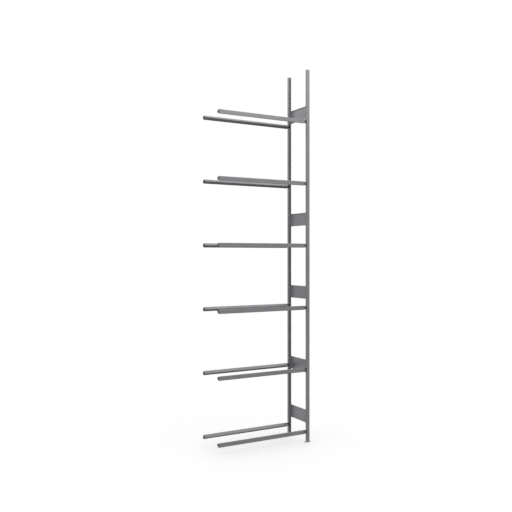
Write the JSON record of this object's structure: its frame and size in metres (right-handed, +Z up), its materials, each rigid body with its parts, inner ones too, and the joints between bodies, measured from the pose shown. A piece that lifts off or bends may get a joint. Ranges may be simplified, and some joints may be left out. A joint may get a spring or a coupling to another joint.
{
  "type": "tyre storage rack add-on bay",
  "caption": "Tall boltless tyre rack add-on bay: one ladder frame of slotted uprights and tie plates, with levels of paired sloped beams that hook in and lift out.",
  "frame": {"origin": "on the floor, in the middle of the frame's four anchor holes", "axes": "+X along the beams, from their free ends towards the frame; -Y is the front, where wheels are put in; +Z up"},
  "size_m": [1.2465, 0.44, 4.5],
  "materials": {
    "galvanised_upright": "hot-dip galvanised sheet, satin",
    "galvanised_beam": "hot-dip galvanised sheet, satin",
    "galvanised_tie": "galvanised sheet, satin",
    "zinc_plate": "zinc plated, satin",
    "zinc_screw": "bright zinc plated",
    "phosphated_hook": "zinc phosphated steel, dull",
    "cap_plastic": "matt moulded plastic"
  },
  "bodies": {
    "frame": {"front_upright": "galvanised_upright", "rear_upright": "galvanised_upright", "front_post_cap": "cap_plastic", "rear_post_cap": "cap_plastic", "front_foot_plate": "zinc_plate", "rear_foot_plate": "zinc_plate", "foot_screws": "zinc_screw", "tie_rivets": "zinc_screw", "tie_plate_1": "galvanised_tie", "tie_plate_2": "galvanised_tie", "tie_plate_3": "galvanised_tie", "tie_plate_4": "galvanised_tie", "tie_plate_5": "galvanised_tie"},
    "front_beam_1_assembly": {"front_beam_1": "galvanised_beam", "front_beam_1_left_hook": "phosphated_hook", "front_beam_1_right_hook": "phosphated_hook"},
    "front_beam_2_assembly": {"front_beam_2": "galvanised_beam", "front_beam_2_left_hook": "phosphated_hook", "front_beam_2_right_hook": "phosphated_hook"},
    "front_beam_3_assembly": {"front_beam_3": "galvanised_beam", "front_beam_3_left_hook": "phosphated_hook", "front_beam_3_right_hook": "phosphated_hook"},
    "front_beam_4_assembly": {"front_beam_4": "galvanised_beam", "front_beam_4_left_hook": "phosphated_hook", "front_beam_4_right_hook": "phosphated_hook"},
    "front_beam_5_assembly": {"front_beam_5": "galvanised_beam", "front_beam_5_left_hook": "phosphated_hook", "front_beam_5_right_hook": "phosphated_hook"},
    "front_beam_6_assembly": {"front_beam_6": "galvanised_beam", "front_beam_6_left_hook": "phosphated_hook", "front_beam_6_right_hook": "phosphated_hook"},
    "rear_beam_1_assembly": {"rear_beam_1": "galvanised_beam", "rear_beam_1_left_hook": "phosphated_hook", "rear_beam_1_right_hook": "phosphated_hook"},
    "rear_beam_2_assembly": {"rear_beam_2": "galvanised_beam", "rear_beam_2_left_hook": "phosphated_hook", "rear_beam_2_right_hook": "phosphated_hook"},
    "rear_beam_3_assembly": {"rear_beam_3": "galvanised_beam", "rear_beam_3_left_hook": "phosphated_hook", "rear_beam_3_right_hook": "phosphated_hook"},
    "rear_beam_4_assembly": {"rear_beam_4": "galvanised_beam", "rear_beam_4_left_hook": "phosphated_hook", "rear_beam_4_right_hook": "phosphated_hook"},
    "rear_beam_5_assembly": {"rear_beam_5": "galvanised_beam", "rear_beam_5_left_hook": "phosphated_hook", "rear_beam_5_right_hook": "phosphated_hook"},
    "rear_beam_6_assembly": {"rear_beam_6": "galvanised_beam", "rear_beam_6_left_hook": "phosphated_hook", "rear_beam_6_right_hook": "phosphated_hook"}
  },
  "joints": [
    {"name": "front_beam_1_lift", "type": "slide", "parent": "frame", "child": "front_beam_1_assembly", "axis": [0, 0, 1], "range_m": [0, 0.012]},
    {"name": "front_beam_2_lift", "type": "slide", "parent": "frame", "child": "front_beam_2_assembly", "axis": [0, 0, 1], "range_m": [0, 0.012]},
    {"name": "front_beam_3_lift", "type": "slide", "parent": "frame", "child": "front_beam_3_assembly", "axis": [0, 0, 1], "range_m": [0, 0.012]},
    {"name": "front_beam_4_lift", "type": "slide", "parent": "frame", "child": "front_beam_4_assembly", "axis": [0, 0, 1], "range_m": [0, 0.012]},
    {"name": "front_beam_5_lift", "type": "slide", "parent": "frame", "child": "front_beam_5_assembly", "axis": [0, 0, 1], "range_m": [0, 0.012]},
    {"name": "front_beam_6_lift", "type": "slide", "parent": "frame", "child": "front_beam_6_assembly", "axis": [0, 0, 1], "range_m": [0, 0.012]},
    {"name": "rear_beam_1_lift", "type": "slide", "parent": "frame", "child": "rear_beam_1_assembly", "axis": [0, 0, 1], "range_m": [0, 0.012]},
    {"name": "rear_beam_2_lift", "type": "slide", "parent": "frame", "child": "rear_beam_2_assembly", "axis": [0, 0, 1], "range_m": [0, 0.012]},
    {"name": "rear_beam_3_lift", "type": "slide", "parent": "frame", "child": "rear_beam_3_assembly", "axis": [0, 0, 1], "range_m": [0, 0.012]},
    {"name": "rear_beam_4_lift", "type": "slide", "parent": "frame", "child": "rear_beam_4_assembly", "axis": [0, 0, 1], "range_m": [0, 0.012]},
    {"name": "rear_beam_5_lift", "type": "slide", "parent": "frame", "child": "rear_beam_5_assembly", "axis": [0, 0, 1], "range_m": [0, 0.012]},
    {"name": "rear_beam_6_lift", "type": "slide", "parent": "frame", "child": "rear_beam_6_assembly", "axis": [0, 0, 1], "range_m": [0, 0.012]}
  ]
}
